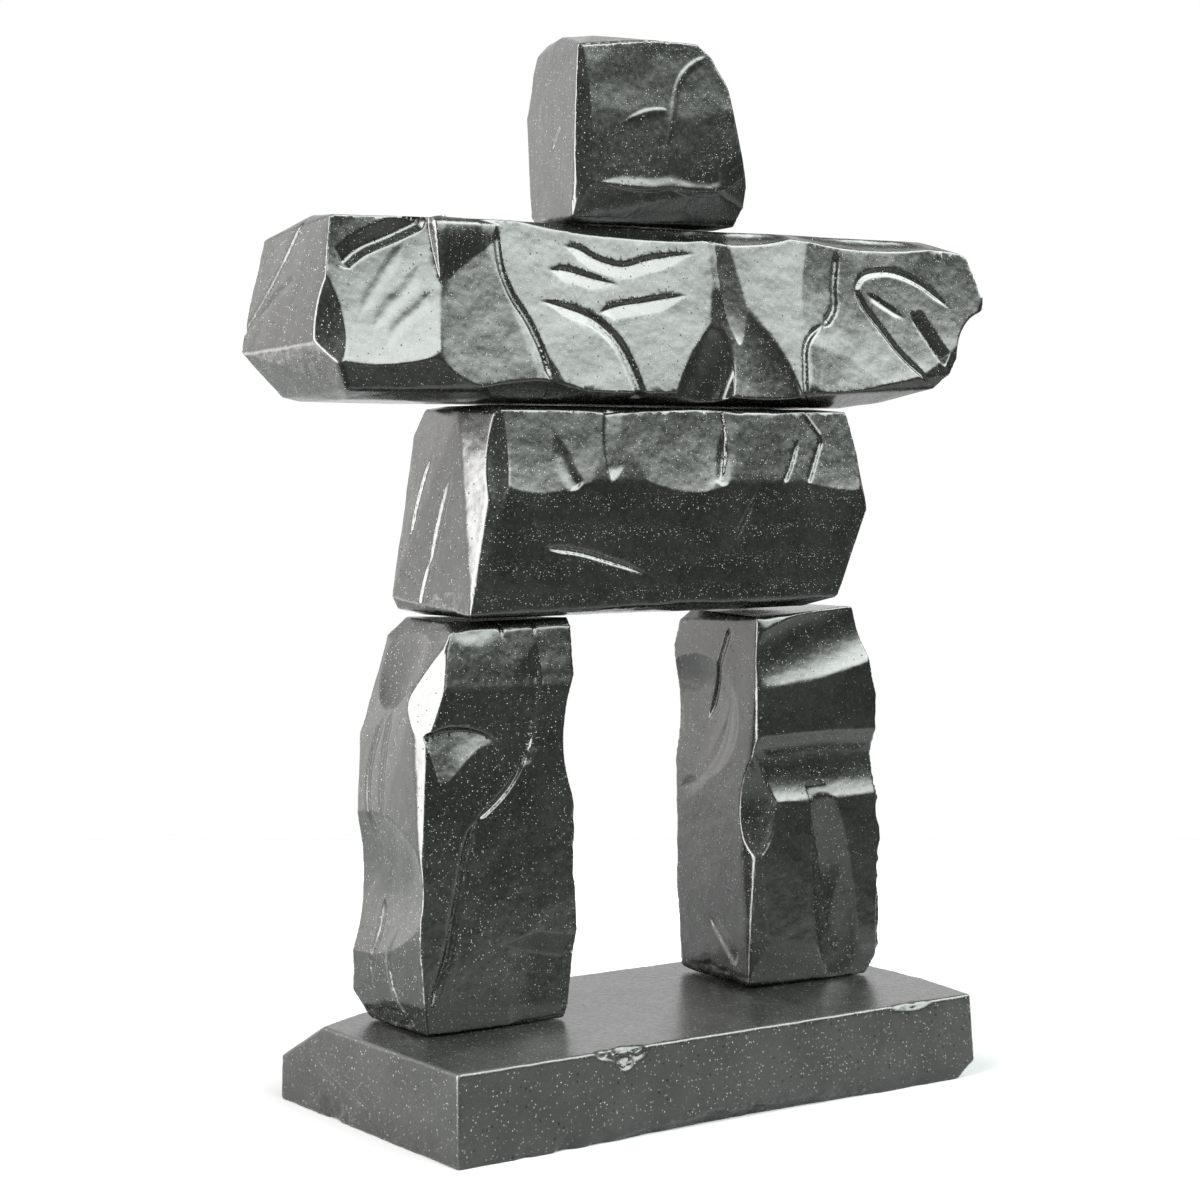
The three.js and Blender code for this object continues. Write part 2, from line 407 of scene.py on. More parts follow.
class Chisel:
    """Draws strokes and chips over a stone's settled surface.

    A path gets STEPS points between two of its own, and STRIDE is the longest
    move of a point in one round. A stroke cuts where the face looks FACING or
    more to its side, and its faded ends keep NARROWEST of its width. A chip is
    felt to CHIP_REACH, a squared share of its radii. Its rim wavers by
    CHIP_WOBBLE and falls away over CHIP_RIM. A swell is its share, its shift in
    mm and its wave in mm.
    """

    STEPS = 12
    STRIDE = 1.2
    FACING = 0.3
    NARROWEST = 0.15
    CHIP_REACH = 2.0
    CHIP_WOBBLE = 0.35
    CHIP_RIM = (1.0, 0.55)
    CHIP_SHIFT = 11.0
    SWELLS = ((1.0, 0.0, 13.0), (0.5, 5.0, 6.0))
    AXES = {
        Side.FRONT: (0, 1.0, (0.0, -1.0, 0.0)),
        Side.LEFT: (1, -1.0, (-1.0, 0.0, 0.0)),
    }

    def __init__(self, form: Form, grain: Grain) -> None:
        """Keeps the form that it works on.

        Args:
            form: The stone's form.
            grain: Noise for the chips.
        """
        self.form = form
        self.grain = grain

    def line_of(self, stroke: Stroke) -> np.ndarray:
        """A stroke's path as a fine line.

        Args:
            stroke: The stroke.

        Returns:
            Points across and up its side, in mm.
        """
        axis, sign, _ = self.AXES[stroke.side]
        knots = np.array(stroke.path) * self.form.size[[axis, 2]] * PERCENT
        knots[:, 0] *= sign
        ends = np.vstack([2 * knots[0] - knots[1], knots, 2 * knots[-1] - knots[-2]])
        share = np.linspace(0.0, 1.0, self.STEPS, endpoint=False)[:, None]
        pieces = []
        for before, here, there, after in zip(ends, ends[1:], ends[2:], ends[3:]):
            bend = 2 * before - 5 * here + 4 * there - after
            twist = 3 * (here - there) + after - before
            curve = share * (there - before) + share**2 * bend + share**3 * twist
            pieces.append(here + 0.5 * curve)
        return np.vstack([*pieces, knots[-1:]])

    def cut_of(
        self, stroke: Stroke, points: np.ndarray, normals: np.ndarray
    ) -> tuple[np.ndarray, np.ndarray, np.ndarray]:
        """How deep a stroke cuts at each point.

        Args:
            stroke: The stroke.
            points: Places in mm.
            normals: The outward normals of the form there.

        Returns:
            Which points it reaches, how deep it cuts there, and the gradients
            of that depth.
        """
        axis, sign, way = self.AXES[stroke.side]
        line = self.line_of(stroke)
        reach = max(stroke.left, stroke.right)
        flat = np.stack([points[:, axis] * sign, points[:, 2]], axis=1)
        low, high = line.min(0) - reach, line.max(0) + reach
        seen = normals @ np.array(way) > self.FACING
        found = np.flatnonzero(seen & np.all((flat > low) & (flat < high), axis=1))
        flat = flat[found]
        start, edge = line[:-1], np.diff(line, axis=0)
        long = np.linalg.norm(edge, axis=1)
        gap = flat[:, None, :] - start[None]
        share = np.clip(np.einsum("ijk,jk->ij", gap, edge) / long**2, 0.0, 1.0)
        off = gap - share[..., None] * edge[None]
        nearest = np.argmin(np.einsum("ijk,ijk->ij", off, off), axis=1)
        rows = np.arange(len(found))
        off, share = off[rows, nearest], share[rows, nearest]
        edge, long = edge[nearest], long[nearest]
        side = (edge[:, 0] * off[:, 1] - edge[:, 1] * off[:, 0]) / long
        beyond = np.linalg.norm(off, axis=1)
        along = (nearest + share) / len(start)
        fade = np.ones(len(found))
        if stroke.start > 0:
            fade *= smooth_step(0.0, stroke.start, along)
        if stroke.end > 0:
            fade *= smooth_step(0.0, stroke.end, 1.0 - along)
        wide = np.where(side > 0, stroke.left, stroke.right) * np.maximum(fade, self.NARROWEST)
        wall = np.clip(1.0 - np.maximum(np.abs(side), beyond) / wide, 0.0, 1.0)
        steep = -np.sign(side) * (wall > 0) * (wall < 1) / wide
        if stroke.soft:
            steep *= 6.0 * wall * (1.0 - wall)
            wall = wall * wall * (3.0 - 2.0 * wall)
        steep *= stroke.depth * fade
        across = np.stack([-edge[:, 1], edge[:, 0]], axis=1) / long[:, None]
        lean = np.zeros((len(found), 3))
        lean[:, axis] = steep * across[:, 0] * sign
        lean[:, 2] = steep * across[:, 1]
        return found, stroke.depth * fade * wall, lean

    def depth(
        self,
        points: np.ndarray,
        normals: np.ndarray,
        strokes: Sequence[Stroke],
        chips: Sequence[Chip],
    ) -> tuple[np.ndarray, np.ndarray]:
        """How deep all strokes and chips cut.

        Args:
            points: Places in mm.
            normals: The outward normals of the form there.
            strokes: The strokes.
            chips: The rough patches.

        Returns:
            The depths in mm, and their gradients.
        """
        depth = np.zeros(len(points))
        lean = np.zeros_like(points)
        for stroke in strokes:
            found, cut, slope = self.cut_of(stroke, points, normals)
            depth[found] += cut
            lean[found] += slope
        for chip in chips:
            radii = np.array(chip.radii) * self.form.size * PERCENT
            away = (points - self.form.place(chip.at)) / radii
            near = np.flatnonzero(squared(away) < self.CHIP_REACH)
            place = points[near]
            wobble = self.CHIP_WOBBLE * self.grain.at(place + self.CHIP_SHIFT, chip.grain * 2.0)
            inside = smooth_step(*self.CHIP_RIM, np.linalg.norm(away[near], axis=1) + wobble)
            hollow = self.grain.rough(place, chip.grain)
            depth[near] += inside * (chip.sunk + chip.depth * (0.5 + 0.5 * hollow))
        return depth, lean

    def settle(self, stone: "Stone", points: np.ndarray, rounds: int) -> np.ndarray:
        """Moves points onto the finished surface.

        Args:
            stone: The stone, for its strokes, chips, wear and swell.
            points: Places in mm near the surface.
            rounds: How many times to correct them.

        Returns:
            The moved points.
        """
        worn = stone.worn(self.grain, points)
        waves = (share * self.grain.at(points + apart, wave) for share, apart, wave in self.SWELLS)
        swell = sum(waves) + 1.0
        points = points.copy()
        for _ in range(rounds):
            here = self.form.reach(points, worn)
            length = np.linalg.norm(here.slope, axis=1, keepdims=True)
            normals = here.slope / np.maximum(length, TINY)
            depth, lean = self.depth(points, normals, stone.strokes, stone.chips)
            slope = here.slope + lean
            value = here.value + depth + stone.swell * swell
            steep = np.maximum(squared(slope), GENTLEST)
            points -= np.clip(value / steep, -self.STRIDE, self.STRIDE)[:, None] * slope
        return points


def only(piece: bpy.types.Object) -> None:
    """Selects one object alone and makes it active.

    Args:
        piece: The object.
    """
    bpy.ops.object.select_all(action="DESELECT")
    piece.select_set(True)
    bpy.context.view_layer.objects.active = piece


def apply_modifier(piece: bpy.types.Object, kind: str, **settings: object) -> None:
    """Adds a modifier, sets it up and applies it.

    Args:
        piece: The object.
        kind: The modifier's type.
        settings: Its settings by name.
    """
    modifier = piece.modifiers.new(kind.title(), kind)
    for name, value in settings.items():
        setattr(modifier, name, value)
    only(piece)
    bpy.ops.object.modifier_apply(modifier=modifier.name)


def read_points(mesh: bpy.types.Mesh) -> np.ndarray:
    """A mesh's vertices, one row each."""
    values = np.empty(len(mesh.vertices) * 3)
    mesh.vertices.foreach_get("co", values)
    return values.reshape(-1, 3)


def write_points(mesh: bpy.types.Mesh, points: np.ndarray) -> None:
    """Moves a mesh's vertices."""
    mesh.vertices.foreach_set("co", points.ravel())
    mesh.update()


class Board:
    """A node tree that nodes are added to and wired in one call each."""

    def __init__(self, tree: bpy.types.NodeTree) -> None:
        """Empties the tree.

        Args:
            tree: The material's, world's or group's node tree.
        """
        self.tree = tree
        tree.nodes.clear()

    def add(
        self, kind: str, inputs: dict[object, object] | None = None, **settings: object
    ) -> bpy.types.Node:
        """Adds a node.

        Args:
            kind: The node's type.
            inputs: Its sockets, each with a value or with another node's output.
            settings: Its own settings by name.

        Returns:
            The node.
        """
        node = self.tree.nodes.new(kind)
        for name, value in settings.items():
            setattr(node, name, value)
        for name, value in (inputs or {}).items():
            if isinstance(value, bpy.types.NodeSocket):
                self.tree.links.new(value, node.inputs[name])
            else:
                node.inputs[name].default_value = value
        return node

    def math(self, operation: str, first: object, second: object = 0.0) -> bpy.types.NodeSocket:
        """A Math node's result.

        Args:
            operation: Its operation.
            first: A value or an output.
            second: A value or an output.

        Returns:
            The result's socket.
        """
        node = self.add("ShaderNodeMath", {0: first, 1: second}, operation=operation)
        return node.outputs[0]

    def tinted(self, value: bpy.types.NodeSocket, tint: Triple) -> bpy.types.NodeSocket:
        """A value times a colour."""
        node = self.add("ShaderNodeVectorMath", {0: tint, "Scale": value}, operation="SCALE")
        return node.outputs[0]

    def ramp(
        self, value: object, low: float, high: float, start: float = 0.0, stop: float = 1.0
    ) -> bpy.types.NodeSocket:
        """A smooth ramp between two values.

        Args:
            value: The output to ramp.
            low: Where the ramp starts.
            high: Where it ends.
            start: Its result up to low.
            stop: Its result from high on.

        Returns:
            The result's socket.
        """
        reach = {"From Min": low, "From Max": high, "To Min": start, "To Max": stop}
        sockets = {"Value": value, **reach}
        node = self.add("ShaderNodeMapRange", sockets, interpolation_type="SMOOTHSTEP")
        return node.outputs["Result"]

    def blend(self, share: object, first: object, second: object) -> bpy.types.NodeSocket:
        """A mix of two colours.

        Args:
            share: How much of the second, as a value or an output.
            first: A colour or an output.
            second: A colour or an output.

        Returns:
            The mixed colour's socket.
        """
        node = self.add("ShaderNodeMix", data_type="RGBA")
        for index, value in ((0, share), (6, first), (7, second)):
            if isinstance(value, bpy.types.NodeSocket):
                self.tree.links.new(value, node.inputs[index])
            else:
                node.inputs[index].default_value = value
        return node.outputs[2]


FLECK_RADIUS = 0.42
FLECK_EDGE = 0.12
PIT_SCALE = 0.45
PIT_RADIUS = 0.34
PIT_EDGE = 0.1
PIT_SHARE = 0.3


def specks_group() -> bpy.types.NodeTree:
    """The stone's pale flecks, as a group shared by its two finishes.

    Flecks and pits sit in the cells of two patterns. Their radii and edges are
    shares of a cell, and PIT_SHARE of the cells hold a pit.

    Returns:
        A group that gives masks of flecks and of fine pits, and a soft clouding.
    """
    group = bpy.data.node_groups.new("stone_specks", "ShaderNodeTree")
    group.interface.new_socket("Vector", in_out="INPUT", socket_type="NodeSocketVector")
    for name, value in (("Scale", 900.0), ("Amount", 0.3), ("Cloud", 60.0)):
        socket = group.interface.new_socket(name, in_out="INPUT", socket_type="NodeSocketFloat")
        socket.default_value = value
    for name in ("Flecks", "Pits", "Clouds"):
        group.interface.new_socket(name, in_out="OUTPUT", socket_type="NodeSocketFloat")
    board = Board(group)
    given = board.add("NodeGroupInput").outputs
    cells = board.add("ShaderNodeTexVoronoi", {"Vector": given["Vector"], "Scale": given["Scale"]})
    colour = board.add("ShaderNodeSeparateColor", {"Color": cells.outputs["Color"]}).outputs
    chosen = board.math("LESS_THAN", colour["Red"], given["Amount"])
    radius = board.math("MULTIPLY", colour["Green"], FLECK_RADIUS)
    dot = board.math("SUBTRACT", radius, cells.outputs["Distance"])
    edge = board.ramp(dot, 0.0, FLECK_EDGE)
    bright = board.math("MULTIPLY", board.math("MULTIPLY", edge, chosen), colour["Blue"])
    clouds = board.add(
        "ShaderNodeTexNoise",
        {"Vector": given["Vector"], "Scale": given["Cloud"], "Detail": 4.0, "Roughness": 0.6},
    )
    coarse = board.math("MULTIPLY", given["Scale"], PIT_SCALE)
    holes = board.add("ShaderNodeTexVoronoi", {"Vector": given["Vector"], "Scale": coarse})
    drawn = board.add("ShaderNodeSeparateColor", {"Color": holes.outputs["Color"]}).outputs
    small = board.math("MULTIPLY", drawn["Green"], PIT_RADIUS)
    pit = board.ramp(board.math("SUBTRACT", small, holes.outputs["Distance"]), 0.0, PIT_EDGE)
    pits = board.math("MULTIPLY", pit, board.math("LESS_THAN", drawn["Red"], PIT_SHARE))
    board.add("NodeGroupOutput", {"Flecks": bright, "Pits": pits, "Clouds": clouds.outputs["Fac"]})
    return group


@dataclass(frozen=True)
class Finish:
    """How a stone is finished.

    dark and light are the ends of its clouding, and fleck the colour of its
    flecks, of which painted_edge_highlight mixes in on sharp arrises as a painted
    highlight. fleck_amount is the share of cells with a fleck. gloss is the
    roughness between its glossiest and dullest grain. texture and waves are the
    heights in mm of its fine grain and of its broad swells. The scales count
    cells to the metre.
    """

    name: str
    dark: Triple
    light: Triple
    fleck: Triple
    fleck_amount: float
    fleck_scale: float
    gloss: Pair
    specular: float
    texture: float
    texture_scale: float
    texture_roughness: float
    waves: float
    painted_edge_highlight: float
    clouding: Pair = (0.35, 0.65)
    arrises: Pair = (0.52, 0.60)
    grain: Pair = (0.3, 0.7)
    fleck_dullness: float = 0.4
    shine: Pair = (0.5, 0.15)
    wave_scale: float = 130.0

    def make(self, specks: bpy.types.NodeTree) -> bpy.types.Material:
        """Builds the material.

        Args:
            specks: The group with the stone's flecks.

        Returns:
            The material.
        """
        material = bpy.data.materials.new(self.name)
        material.use_nodes = True
        board = Board(material.node_tree)
        place = board.add("ShaderNodeTexCoord").outputs["Object"]
        group = board.add("ShaderNodeGroup", node_tree=specks)
        board.tree.links.new(place, group.inputs["Vector"])
        group.inputs["Scale"].default_value = self.fleck_scale
        group.inputs["Amount"].default_value = self.fleck_amount
        flecks, clouds = group.outputs["Flecks"], group.outputs["Clouds"]
        cloudy = board.ramp(clouds, *self.clouding)
        body = board.blend(cloudy, (*self.dark, 1.0), (*self.light, 1.0))
        # Painted highlight: sharp arrises, found by their pointiness, are lightened towards the
        # fleck colour, and the colour named worn below carries this painted highlight.
        point = board.add("ShaderNodeNewGeometry").outputs["Pointiness"]
        edge = board.ramp(point, *self.arrises, 0.0, self.painted_edge_highlight)
        worn = board.blend(edge, body, (*self.fleck, 1.0))
        colour = board.blend(flecks, worn, (*self.fleck, 1.0))
        fine = board.add(
            "ShaderNodeTexNoise",
            {
                "Vector": place,
                "Scale": self.texture_scale,
                "Detail": 5.0,
                "Roughness": self.texture_roughness,
            },
        )
        polish = board.ramp(fine.outputs["Fac"], *self.grain, *self.gloss)
        dull = board.math("MULTIPLY", flecks, self.fleck_dullness)
        rough = board.math("ADD", polish, dull)
        shine = board.ramp(group.outputs["Pits"], 0.0, 1.0, *self.shine)
        waves = board.add(
            "ShaderNodeTexNoise", {"Vector": place, "Scale": self.wave_scale, "Detail": 2.0}
        )
        swell = board.add(
            "ShaderNodeBump",
            {"Height": waves.outputs["Fac"], "Strength": 1.0, "Distance": self.waves * MM},
        )
        bump = board.add(
            "ShaderNodeBump",
            {
                "Height": fine.outputs["Fac"],
                "Strength": 1.0,
                "Distance": self.texture * MM,
                "Normal": swell.outputs["Normal"],
            },
        )
        shader = board.add(
            "ShaderNodeBsdfPrincipled",
            {
                "Base Color": colour,
                "Roughness": rough,
                "IOR": self.specular,
                "Specular IOR Level": shine,
                "Normal": bump.outputs["Normal"],
            },
        )
        board.add("ShaderNodeOutputMaterial", {"Surface": shader.outputs[0]})
        return material


@dataclass(frozen=True)
class Seat:
    """Where a stone stands: its seat's middle in mm, and its tilt in degrees."""

    middle: Triple
    tilt: float = 0.0

    def matrix(self) -> np.ndarray:
        """The turn from the stone's own axes to the figure's."""
        return np.array(Matrix.Rotation(math.radians(self.tilt), 3, "Y"))

    def inward(self, points: np.ndarray) -> np.ndarray:
        """Metres in the figure's frame to mm in the stone's."""
        return (points / MM - np.array(self.middle)) @ self.matrix()

    def outward(self, points: np.ndarray) -> np.ndarray:
        """Millimetres in the stone's frame to metres in the figure's."""
        return (points @ self.matrix().T + np.array(self.middle)) * MM


@dataclass
class Stone:
    """One hewn stone of the figure.

    size, arris and voxel are in mm: its length, depth and height, the width of
    its worn arrises and the spacing of its mesh. corners are in percent of its
    size. wear is how unevenly the arrises are worn, and swell how far, in mm,
    its faces dip in soft waves.
    """

    node: str
    size: Triple
    seat: Seat
    corners: tuple[Triple, ...]
    scoops: tuple[Scoop, ...]
    strokes: tuple[Stroke, ...] = ()
    chips: tuple[Chip, ...] = ()
    voxel: float = 0.42
    triangles: int = 120_000
    arris: float = 0.9
    wear: float = 0.45
    swell: float = 0.10
    slot: str = "stone"
    seed: int = 1

    WELD = 1e-6
    WEAR_RANGE = 1.6
    WEAR_WAVE = 5.0
    QUICK_VOXELS = 2.0

    def blank(self) -> bpy.types.Object:
        """A finely meshed copy of the stone's solid.

        Returns:
            The copy, in metres in the figure's frame.
        """
        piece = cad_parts[self.node].copy()
        piece.data = piece.data.copy()
        piece.name = piece.data.name = f"{self.node}_stone"
        piece.parent = None
        for key in [key for key in piece.keys() if key.startswith("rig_")]:
            del piece[key]
        bpy.context.scene.collection.objects.link(piece)
        piece.data.materials.clear()
        only(piece)
        bpy.ops.object.mode_set(mode="EDIT")
        bpy.ops.mesh.select_all(action="SELECT")
        bpy.ops.mesh.remove_doubles(threshold=self.WELD)
        bpy.ops.object.mode_set(mode="OBJECT")
        self.remesh(piece)
        return piece

    def worn(self, grain: Grain, points: np.ndarray) -> np.ndarray:
        """How far the arrises are worn at each point, about 1."""
        return 1.0 + self.wear * self.WEAR_RANGE * grain.rough(points, self.WEAR_WAVE)

    def carve(self) -> bpy.types.Object:
        """Builds the stone's mesh.

        The mesh is brought to its form, cut, meshed evenly once more and
        settled again, so that steep walls of strokes get enough faces too.

        Returns:
            The finished piece, without its material.
        """
        piece = self.blank()
        grain = Grain(self.seed)
        form = Form(self.size, self.corners, self.scoops, self.arris)
        chisel = Chisel(form, grain)
        points = self.seat.inward(read_points(piece.data))
        points = form.settle(points, self.worn(grain, points), rounds=3)
        points = chisel.settle(self, points, rounds=1)
        write_points(piece.data, self.seat.outward(points))
        self.remesh(piece)
        points = chisel.settle(self, self.seat.inward(read_points(piece.data)), rounds=3)
        write_points(piece.data, self.seat.outward(points))
        apply_modifier(piece, "SMOOTH", factor=0.5, iterations=2)
        points = chisel.settle(self, self.seat.inward(read_points(piece.data)), rounds=2)
        write_points(piece.data, self.seat.outward(points))
        self.thin(piece)
        only(piece)
        bpy.ops.object.shade_smooth()
        return piece

    def remesh(self, piece: bpy.types.Object) -> None:
        """Meshes the stone evenly.

        Args:
            piece: The stone.
        """
        voxel = self.voxel * 1.0
        apply_modifier(piece, "REMESH", mode="VOXEL", voxel_size=voxel * MM)

    def thin(self, piece: bpy.types.Object) -> None:
        """Brings the mesh to its number of triangles, where it has more.

        Args:
            piece: The stone.
        """
        count = 2 * len(piece.data.polygons)
        if count > self.triangles:
            apply_modifier(piece, "DECIMATE", ratio=self.triangles / count)

    def build(self, material: bpy.types.Material) -> bpy.types.Object:
        """Builds and dresses the stone, and seats it in the frame.

        Args:
            material: Its finish.

        Returns:
            The piece.
        """
        piece = self.carve()
        piece.data.materials.append(material)
        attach(piece, "root")
        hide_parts(self.node)
        low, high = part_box(self.node)
        points = read_points(piece.data)
        over = max((np.array(low) - points.min(0)).max(), (points.max(0) - np.array(high)).max())
        faces = len(piece.data.polygons)
        log.info("%s: %d faces, %.2f mm beyond its solid's box", self.node, faces, over / MM)
        return piece


ARMS_LENGTH = 240
ARMS_HEIGHT = 51
ARMS_CLIMB = 3.4
ARMS_SLOPE = math.degrees(math.atan(ARMS_CLIMB / ARMS_LENGTH))


def arms_top(right: float, back: float) -> Triple:
    """A corner on the top of the arms, which climbs to the right."""
    return (right, back, 100 + ARMS_CLIMB / ARMS_HEIGHT * right)


BASE = Stone(
    node="base",
    size=(184, 95, 25),
    seat=Seat((0, 0, 0)),
    slot="slab",
    voxel=0.5,
    triangles=110_000,
    arris=0.5,
    wear=0.6,
    swell=0.02,
    seed=3,
    corners=(
        (-50, -50, 0), (-50, -50, 100), (47, -50, 100), (48, -50, 20), (45, -49, 0),
        (49.5, -24, 100), (50, 0, 100), (48, 45, 100), (48, 48, 15), (46, 50, 0),
        (-50, 50, 0), (-50, 49.5, 50), (-50, 24, 100), (-41, 34, 100), (-20, 45, 100),
    ),
    scoops=(
        # The chipped back corner, and the broken lower front edge.
        Scoop((-44, 46, 92), (-140, 55), (170, 60), bite=14),
        Scoop((2, -50, 0), (0, -55), (440, 46), bite=9),
    ),
    chips=(
        Chip((-21, -50, 94), (5, 2.5, 16), depth=2.2, grain=2.0, sunk=0.3),
        Chip((2, -50, 4), (40, 3.0, 18), depth=1.6, grain=3.0),
        Chip((34, -50, 98), (4, 1.6, 8), depth=0.9, grain=2.0),
        Chip((-50, 20, 10), (1.5, 10, 20), depth=0.8, grain=2.0),
        Chip((-45, 42, 90), (6, 10, 22), depth=0.9, grain=2.4),
    ),
    strokes=(
        # A scratch across the sawn end.
        Stroke(
            Side.LEFT, ((34, 74), (20, 52), (4, 34), (-14, 14)),
            depth=0.35, left=0.5, right=0.7, start=0.2, end=0.3,
        ),
    ),
)

LEFT_LEG = Stone(
    node="left_leg",
    size=(52, 42, 113),
    seat=Seat((-54, 9, 25.3)),
    triangles=130_000,
    seed=5,
    corners=(
        (-18.5, 38, 100), (-27.5, 43, 95.5), (-38, 45, 78), (-44.5, 45, 71), (-46.5, 45, 54),
        (-49.5, 45, 18.5), (-49.5, 45, 7), (-43.5, 35.5, 0),
        (-23.5, -21.5, 99.5), (-27, -37, 97.5), (-38.5, -43, 83.5),
        (-48, -31, 80.5), (-44.5, -43, 76.5),
        (-46, -43, 43.5), (-49, -43, 23.5), (-47, -43, 7.5), (-43, -38, 0),
        (50, -33, 100), (50, -37, 98), (50, -43, 83.5), (50, -43, 22),
        (46, -43, 10.5), (45, -43, 3), (44, -40, 0),
        (50, 40, 99), (48, 45, 66), (42.5, 43, 0),
    ),
    scoops=(
        # The waists of the right and the left side.
        Scoop((50, -10, 70), (90, 0), (60, 36), bite=4.4),
        Scoop((-48, 36, 36), (-90, 0), (60, 34), bite=2.6),
        # The pale facet on the front left edge.
        Scoop((-40.5, -35, 86.4), (-56, 14), (28, 36), bite=1.6, turn=0, bowl=12),
        # Hollows under the top.
        Scoop((-14, -41, 96.5), (0, 20), (26, 12), bite=1.6),
        Scoop((-36, 30, 90), (-80, 15), (30, 22), bite=2),
    ),
    chips=(
        Chip((-46, 0, 3), (8, 30, 3), depth=1.0, grain=2.4),
        Chip((49, -30, 45), (4, 24, 18), depth=0.7, grain=4.0),
    ),
    strokes=(
        # The S-shaped groove, in three lengths.
        Stroke(
            Side.FRONT, ((26.5, 96), (25, 85), (22.5, 76.5), (17, 67.5), (8, 60.5)),
            depth=1.3, left=1.6, right=8.0, start=0.25, end=0.5,
        ),
        Stroke(
            Side.FRONT, ((22.5, 76.5), (17, 67.5), (8, 60.5), (-3, 55.5), (-15, 51.5)),
            depth=1.0, left=1.0, right=1.0, start=0.2, end=0.12,
        ),
        Stroke(
            Side.FRONT,
            (
                (-13, 52.5), (-20, 45), (-23.5, 37.5), (-28, 28), (-31.5, 20), (-37.5, 13),
                (-44.5, 6),
            ),
            depth=1.1, left=1.2, right=2.2, start=0.1, end=0.15,
        ),
        # The rim over the bowl beside the pale facet.
        Stroke(
            Side.FRONT, ((-45.3, 72.5), (-30, 74), (-12, 73), (5, 69)),
            depth=2.7, left=1.0, right=13.5, start=0.04, end=0.75,
        ),
        # Two long flutes down the left side.
        Stroke(
            Side.LEFT, ((0.5, 80), (17.5, 71.5), (28.5, 61), (26, 51.5), (15.5, 43)),
            depth=0.55, left=2.4, right=2.0, soft=True,
        ),
        Stroke(
            Side.LEFT, ((-4.5, 80.5), (4.5, 70.5), (9, 58), (4, 49.5)),
            depth=0.5, left=2.4, right=2.0, soft=True,
        ),
        # The wedge that opens to the right, low on the front.
        Stroke(
            Side.FRONT, ((0, 21), (14, 19), (30, 17), (50, 15.5)),
            depth=2.2, left=6.0, right=26.0, start=0.6, end=0.0,
        ),
        # Nicks in the top edge.
        Stroke(
            Side.FRONT, ((4.3, 101), (4.8, 93)),
            depth=1.2, left=0.9, right=0.9, start=0.0, end=0.8,
        ),
        Stroke(
            Side.FRONT, ((26, 101), (25, 94)),
            depth=1.0, left=0.9, right=0.9, start=0.0, end=0.8,
        ),
        # A soft swell beside the S.
        Stroke(
            Side.FRONT, ((10, 63), (19, 66.5), (27, 68)),
            depth=0.4, left=3.0, right=3.0, start=0.5, end=0.5, soft=True,
        ),
        # A flute and a lip low on the left side.
        Stroke(
            Side.LEFT, ((13.5, 32.5), (15, 23.5), (21.5, 8)),
            depth=0.5, left=2.0, right=2.0, soft=True,
        ),
        Stroke(
            Side.LEFT, ((-9.5, 27.5), (-2, 17), (-10.5, 7.5), (-29.5, 0)),
            depth=-0.4, left=1.0, right=1.6, start=0.3, end=0.1,
        ),
    ),
)

RIGHT_LEG = Stone(
    node="right_leg",
    size=(52, 42, 113),
    seat=Seat((61, 11, 25.3)),
    triangles=130_000,
    seed=7,
    corners=(
        (-40, 40.5, 99), (-47.5, 45, 96), (-49, 47.5, 89.5), (-47.5, 47.5, 51),
        (-47, 47.5, 25), (-43.5, 47.5, 1), (-41, 38, 0),
        (-45, -44, 98), (-39.5, -47.5, 93.5), (-46, -44.5, 76), (-45, -47.5, 53),
        (-39, -47.5, 45), (-38.5, -47.5, 10.5), (-49.5, -33, 35.5), (-48.5, -40.5, 1.5),
        (-44, -36, 0), (30, -43, 100), (30, -47.5, 97.5), (38, -47.5, 84),
        (44.5, -47.5, 74.5), (46.5, -47.5, 40), (48.5, -47.5, 19), (48, -47.5, 7.5),
        (38.5, -44, 0), (20, 36, 100), (42.5, 40.5, 66), (38.5, 38, 0),
    ),
    scoops=(
        # The hollow of the left side, and the bite in the front left edge.
        Scoop((-48, 22, 71), (-88, 0), (34, 32), bite=2.6, turn=16),
        Scoop((-46, -47.5, 50), (-38, -4), (32, 29), bite=4.4),
        # Two troughs across the front, and the flute below them.
        Scoop((-4, -47.5, 88), (0, 11), (96, 20), bite=2, turn=17),
        Scoop((0, -47.5, 55.5), (0, 9), (110, 18), bite=1.9),
        Scoop((10, -47.5, 20), (4, 0), (14, 68), bite=2.6, turn=7),
    ),
    strokes=(
        # A groove and two soft folds on the left side.
        Stroke(
            Side.LEFT, ((-15.5, 96), (-3, 84.5), (8.5, 75), (19.5, 67)),
            depth=1.0, left=1.6, right=0.9, start=0.1, end=0.3,
        ),
        Stroke(
            Side.LEFT, ((-19, 81), (-3, 64.5), (17, 54.5), (44.5, 50)),
            depth=0.45, left=4.0, right=3.0, start=0.4, end=0.2, soft=True,
        ),
        Stroke(
            Side.LEFT, ((8, 18), (-7, 12.5), (-27, 5.5)),
            depth=0.5, left=4.0, right=2.0, start=0.3, end=0.1, soft=True,
        ),
        # The brow over the lower trough, and the edge of the flute.
        Stroke(
            Side.FRONT, ((-43, 63.5), (-15, 64), (10, 64.5), (42, 63)),
            depth=0.3, left=3.0, right=3.0, start=0.1, end=0.1, soft=True,
        ),
        Stroke(
            Side.FRONT, ((-6.5, 55), (-4, 44.5), (3.5, 33.5), (12, 12)),
            depth=1.6, left=7.0, right=1.4, start=0.1, end=0.3,
        ),
    ),
    chips=(
        Chip((46, -36, 60), (5, 30, 26), depth=1.6, grain=3.0),
        Chip((47, -36, 20), (5, 30, 22), depth=1.4, grain=3.0),
        Chip((-46, 0, 2), (8, 36, 3), depth=0.9, grain=2.4),
    ),
)

